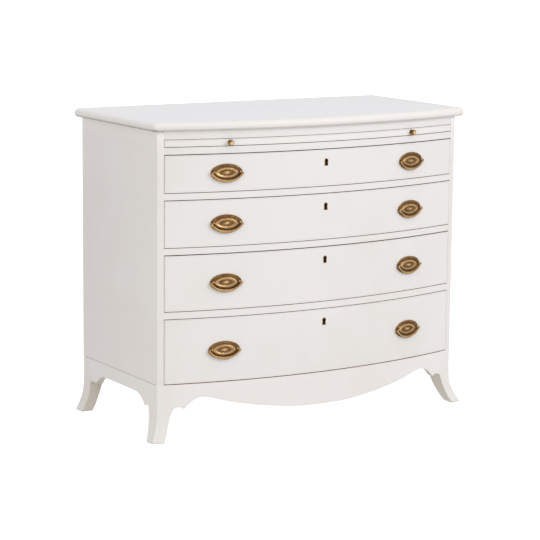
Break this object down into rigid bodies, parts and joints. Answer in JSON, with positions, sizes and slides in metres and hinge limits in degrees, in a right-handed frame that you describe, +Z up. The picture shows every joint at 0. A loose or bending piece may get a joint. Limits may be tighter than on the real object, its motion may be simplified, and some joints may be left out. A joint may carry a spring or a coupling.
{
  "type": "bow front chest of drawers",
  "caption": "Bow front chest with graduated drawers, a pull-out brushing slide, a serpentine apron, splayed feet, lock bolts and drop bail pulls.",
  "frame": {"origin": "on the floor, in the middle of the overall outline in plan", "axes": "+X to the right of someone facing the front, along the longest side; +Y from the bowed front to the straight back; +Z up"},
  "size_m": [1.024, 0.535, 0.8614],
  "materials": {
    "painted_wood": "satin off-white paint",
    "drawer_wood": "bare planed hardwood, waxed",
    "drawer_ply": "bare thin plywood",
    "aged_brass": "antiqued brass, dark in the hollows and rubbed on the high spots",
    "lock_steel": "dull pressed steel"
  },
  "bodies": {
    "carcass": {"top_slab": "painted_wood", "side_panel_left": "painted_wood", "side_panel_right": "painted_wood", "back_panel": "painted_wood", "rail_top": "painted_wood", "dustboard_slide": "painted_wood", "dustboard_1": "painted_wood", "dustboard_2": "painted_wood", "dustboard_3": "painted_wood", "bottom_board": "painted_wood", "front_apron": "painted_wood", "side_apron_left": "painted_wood", "side_apron_right": "painted_wood", "foot_front_left": "painted_wood", "foot_front_right": "painted_wood", "foot_back_left": "painted_wood", "foot_back_right": "painted_wood"},
    "slide": {"brushing_slide": "painted_wood", "slide_knob_left": "aged_brass", "slide_knob_right": "aged_brass"},
    "drawer_1": {"drawer_1_front": "painted_wood", "drawer_1_box": "drawer_wood", "drawer_1_bottom": "drawer_ply", "drawer_1_lock": "lock_steel", "drawer_1_escutcheon": "aged_brass", "drawer_1_plate_left": "aged_brass", "drawer_1_plate_right": "aged_brass"},
    "drawer_1_bolt": {"drawer_1_bolt": "aged_brass"},
    "drawer_1_bail_left": {"drawer_1_bail_left": "aged_brass"},
    "drawer_1_bail_right": {"drawer_1_bail_right": "aged_brass"},
    "drawer_2": {"drawer_2_front": "painted_wood", "drawer_2_box": "drawer_wood", "drawer_2_bottom": "drawer_ply", "drawer_2_lock": "lock_steel", "drawer_2_escutcheon": "aged_brass", "drawer_2_plate_left": "aged_brass", "drawer_2_plate_right": "aged_brass"},
    "drawer_2_bolt": {"drawer_2_bolt": "aged_brass"},
    "drawer_2_bail_left": {"drawer_2_bail_left": "aged_brass"},
    "drawer_2_bail_right": {"drawer_2_bail_right": "aged_brass"},
    "drawer_3": {"drawer_3_front": "painted_wood", "drawer_3_box": "drawer_wood", "drawer_3_bottom": "drawer_ply", "drawer_3_lock": "lock_steel", "drawer_3_escutcheon": "aged_brass", "drawer_3_plate_left": "aged_brass", "drawer_3_plate_right": "aged_brass"},
    "drawer_3_bolt": {"drawer_3_bolt": "aged_brass"},
    "drawer_3_bail_left": {"drawer_3_bail_left": "aged_brass"},
    "drawer_3_bail_right": {"drawer_3_bail_right": "aged_brass"},
    "drawer_4": {"drawer_4_front": "painted_wood", "drawer_4_box": "drawer_wood", "drawer_4_bottom": "drawer_ply", "drawer_4_lock": "lock_steel", "drawer_4_escutcheon": "aged_brass", "drawer_4_plate_left": "aged_brass", "drawer_4_plate_right": "aged_brass"},
    "drawer_4_bolt": {"drawer_4_bolt": "aged_brass"},
    "drawer_4_bail_left": {"drawer_4_bail_left": "aged_brass"},
    "drawer_4_bail_right": {"drawer_4_bail_right": "aged_brass"}
  },
  "joints": [
    {"name": "slide_pull", "type": "slide", "parent": "carcass", "child": "slide", "axis": [0, -1, 0], "range_m": [0, 0.25]},
    {"name": "drawer_1_pull", "type": "slide", "parent": "carcass", "child": "drawer_1", "axis": [0, -1, 0], "range_m": [0, 0.33]},
    {"name": "drawer_1_bolt_lift", "type": "slide", "parent": "drawer_1", "child": "drawer_1_bolt", "axis": [0, 0, 1], "range_m": [0, 0.009]},
    {"name": "drawer_1_bail_left_swing", "type": "hinge", "parent": "drawer_1", "child": "drawer_1_bail_left", "pos_m": [-0.30018, -0.22441, 0.7252], "axis": [-0.984, 0.1781, 0], "range_deg": [0, 170]},
    {"name": "drawer_1_bail_right_swing", "type": "hinge", "parent": "drawer_1", "child": "drawer_1_bail_right", "pos_m": [0.30089, -0.22428, 0.7252], "axis": [-0.9839, -0.1785, 0], "range_deg": [0, 170]},
    {"name": "drawer_2_pull", "type": "slide", "parent": "carcass", "child": "drawer_2", "axis": [0, -1, 0], "range_m": [0, 0.33]},
    {"name": "drawer_2_bolt_lift", "type": "slide", "parent": "drawer_2", "child": "drawer_2_bolt", "axis": [0, 0, 1], "range_m": [0, 0.009]},
    {"name": "drawer_2_bail_left_swing", "type": "hinge", "parent": "drawer_2", "child": "drawer_2_bail_left", "pos_m": [-0.29968, -0.2245, 0.5892], "axis": [-0.9841, 0.1778, 0], "range_deg": [0, 170]},
    {"name": "drawer_2_bail_right_swing", "type": "hinge", "parent": "drawer_2", "child": "drawer_2_bail_right", "pos_m": [0.29968, -0.2245, 0.5892], "axis": [-0.9841, -0.1778, 0], "range_deg": [0, 170]},
    {"name": "drawer_3_pull", "type": "slide", "parent": "carcass", "child": "drawer_3", "axis": [0, -1, 0], "range_m": [0, 0.33]},
    {"name": "drawer_3_bolt_lift", "type": "slide", "parent": "drawer_3", "child": "drawer_3_bolt", "axis": [0, 0, 1], "range_m": [0, 0.009]},
    {"name": "drawer_3_bail_left_swing", "type": "hinge", "parent": "drawer_3", "child": "drawer_3_bail_left", "pos_m": [-0.30058, -0.22433, 0.4292], "axis": [-0.984, 0.1783, 0], "range_deg": [0, 170]},
    {"name": "drawer_3_bail_right_swing", "type": "hinge", "parent": "drawer_3", "child": "drawer_3_bail_right", "pos_m": [0.29988, -0.22446, 0.4292], "axis": [-0.984, -0.1779, 0], "range_deg": [0, 170]},
    {"name": "drawer_4_pull", "type": "slide", "parent": "carcass", "child": "drawer_4", "axis": [0, -1, 0], "range_m": [0, 0.33]},
    {"name": "drawer_4_bolt_lift", "type": "slide", "parent": "drawer_4", "child": "drawer_4_bolt", "axis": [0, 0, 1], "range_m": [0, 0.009]},
    {"name": "drawer_4_bail_left_swing", "type": "hinge", "parent": "drawer_4", "child": "drawer_4_bail_left", "pos_m": [-0.3043, -0.22366, 0.2447], "axis": [-0.9836, 0.1805, 0], "range_deg": [0, 170]},
    {"name": "drawer_4_bail_right_swing", "type": "hinge", "parent": "drawer_4", "child": "drawer_4_bail_right", "pos_m": [0.29948, -0.22453, 0.2447], "axis": [-0.9841, -0.1777, 0], "range_deg": [0, 170]}
  ]
}
